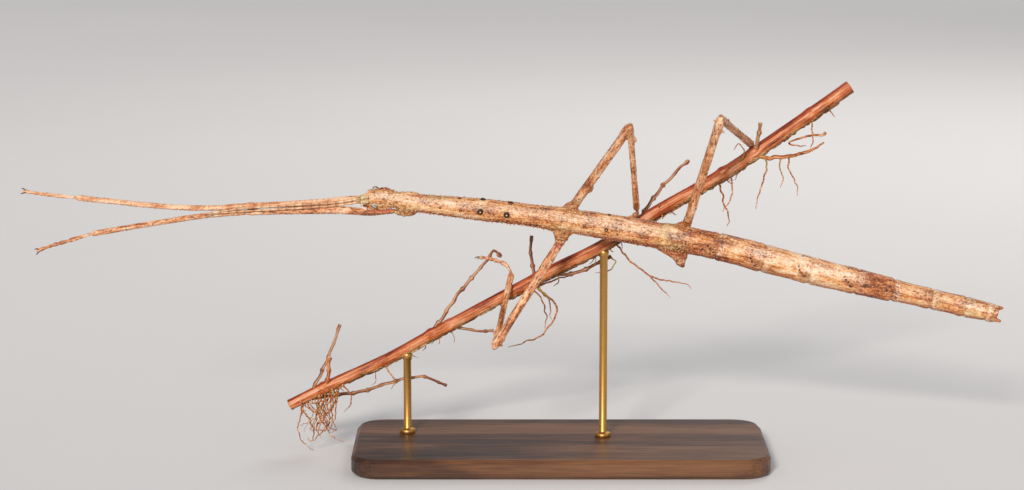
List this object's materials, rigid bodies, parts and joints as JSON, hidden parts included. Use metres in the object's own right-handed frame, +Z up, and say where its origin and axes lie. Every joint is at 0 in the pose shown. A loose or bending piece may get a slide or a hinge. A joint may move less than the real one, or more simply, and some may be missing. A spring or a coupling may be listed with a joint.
{
  "type": "stick insect on a stem",
  "caption": "Slender twig-like stick insect gripping a cut vine stem, posed as a life-size display model on a flat wooden base with thin brass rods.",
  "frame": {"origin": "middle of the base's flat underside", "axes": "+Z up; the insect's body runs along X with its head towards -X; its back faces -Y, turned 26 degrees upwards"},
  "size_m": [0.1971, 0.04, 0.0767],
  "materials": {
    "head_skin": "granular chitin, tan with lichen tints",
    "thorax_skin": "granular chitin, tan with a pale middle band",
    "abdomen_skin": "granular chitin, cream to pink-brown, mottled",
    "leg_skin": "ridged chitin, mottled brown",
    "leg_base": "granular chitin, greenish tan",
    "eye": "glossy, striped grey",
    "antenna": "ringed chitin",
    "mouth": "smooth orange-brown chitin",
    "stem_bark": "smooth red-brown bark, scaly underneath",
    "twig_bark": "dull brown bark",
    "walnut": "oiled walnut",
    "brass": "brushed"
  },
  "bodies": {
    "root": {"head": "head_skin", "eye_left": "eye", "eye_right": "eye", "mouthparts": "mouth", "antenna_left": "antenna", "antenna_right": "antenna", "prothorax": "thorax_skin", "mesothorax": "thorax_skin", "metathorax": "thorax_skin", "abdomen_1": "abdomen_skin", "abdomen_2": "abdomen_skin", "abdomen_3": "abdomen_skin", "abdomen_4": "abdomen_skin", "abdomen_5": "abdomen_skin", "abdomen_6": "abdomen_skin", "abdomen_7": "abdomen_skin", "abdomen_8": "abdomen_skin", "abdomen_9": "abdomen_skin", "abdomen_10": "abdomen_skin", "ovipositor_plate": "abdomen_skin", "cercus_left": "abdomen_skin", "cercus_right": "abdomen_skin", "coxa_fore_left": "leg_base", "femur_fore_left": "leg_skin", "tibia_fore_left": "leg_skin", "tarsus_fore_left": "leg_skin", "coxa_fore_right": "leg_base", "femur_fore_right": "leg_skin", "tibia_fore_right": "leg_skin", "tarsus_fore_right": "leg_skin", "coxa_mid_left": "leg_base", "femur_mid_left": "leg_skin", "tibia_mid_left": "leg_skin", "tarsus_mid_left": "leg_skin", "coxa_mid_right": "leg_base", "femur_mid_right": "leg_skin", "tibia_mid_right": "leg_skin", "tarsus_mid_right": "leg_skin", "coxa_hind_left": "leg_base", "femur_hind_left": "leg_skin", "tibia_hind_left": "leg_skin", "tarsus_hind_left": "leg_skin", "coxa_hind_right": "leg_base", "femur_hind_right": "leg_skin", "tibia_hind_right": "leg_skin", "tarsus_hind_right": "leg_skin", "perch_stem": "stem_bark", "perch_twig_gripped": "twig_bark", "perch_twig_upright": "twig_bark", "perch_twig_stub": "twig_bark", "perch_twig_low": "twig_bark", "perch_twig_short": "twig_bark", "perch_twig_middle": "twig_bark", "perch_twig_hooked": "twig_bark", "perch_twig_high": "twig_bark", "perch_twig_top": "twig_bark", "stand_base": "walnut", "stand_rod_left": "brass", "stand_rod_right": "brass"}
  },
  "joints": []
}
